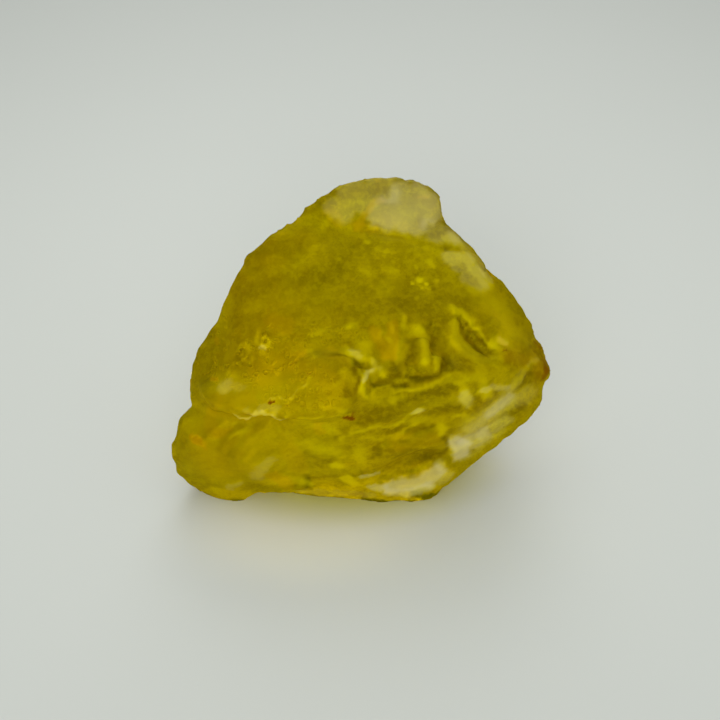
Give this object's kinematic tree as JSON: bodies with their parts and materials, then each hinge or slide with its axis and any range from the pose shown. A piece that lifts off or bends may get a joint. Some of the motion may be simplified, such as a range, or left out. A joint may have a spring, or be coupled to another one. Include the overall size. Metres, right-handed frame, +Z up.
{
  "type": "libyan desert glass fragment",
  "caption": "Irregular piece of natural yellow desert glass with a thin fin on top, flake scars, worn ledges and a flat it rests on.",
  "frame": {"origin": "centre of the bounding box's bottom face, on the flat that the piece rests on", "axes": "+Z up as it rests, +X along its length towards the pointed right tip, -Y out of its front ridge"},
  "size_m": [0.0296, 0.019, 0.0221],
  "materials": {
    "desert_glass": "sand-etched, satin, see-through at thin edges"
  },
  "bodies": {
    "root": {"desert_glass": "desert_glass"}
  },
  "joints": []
}
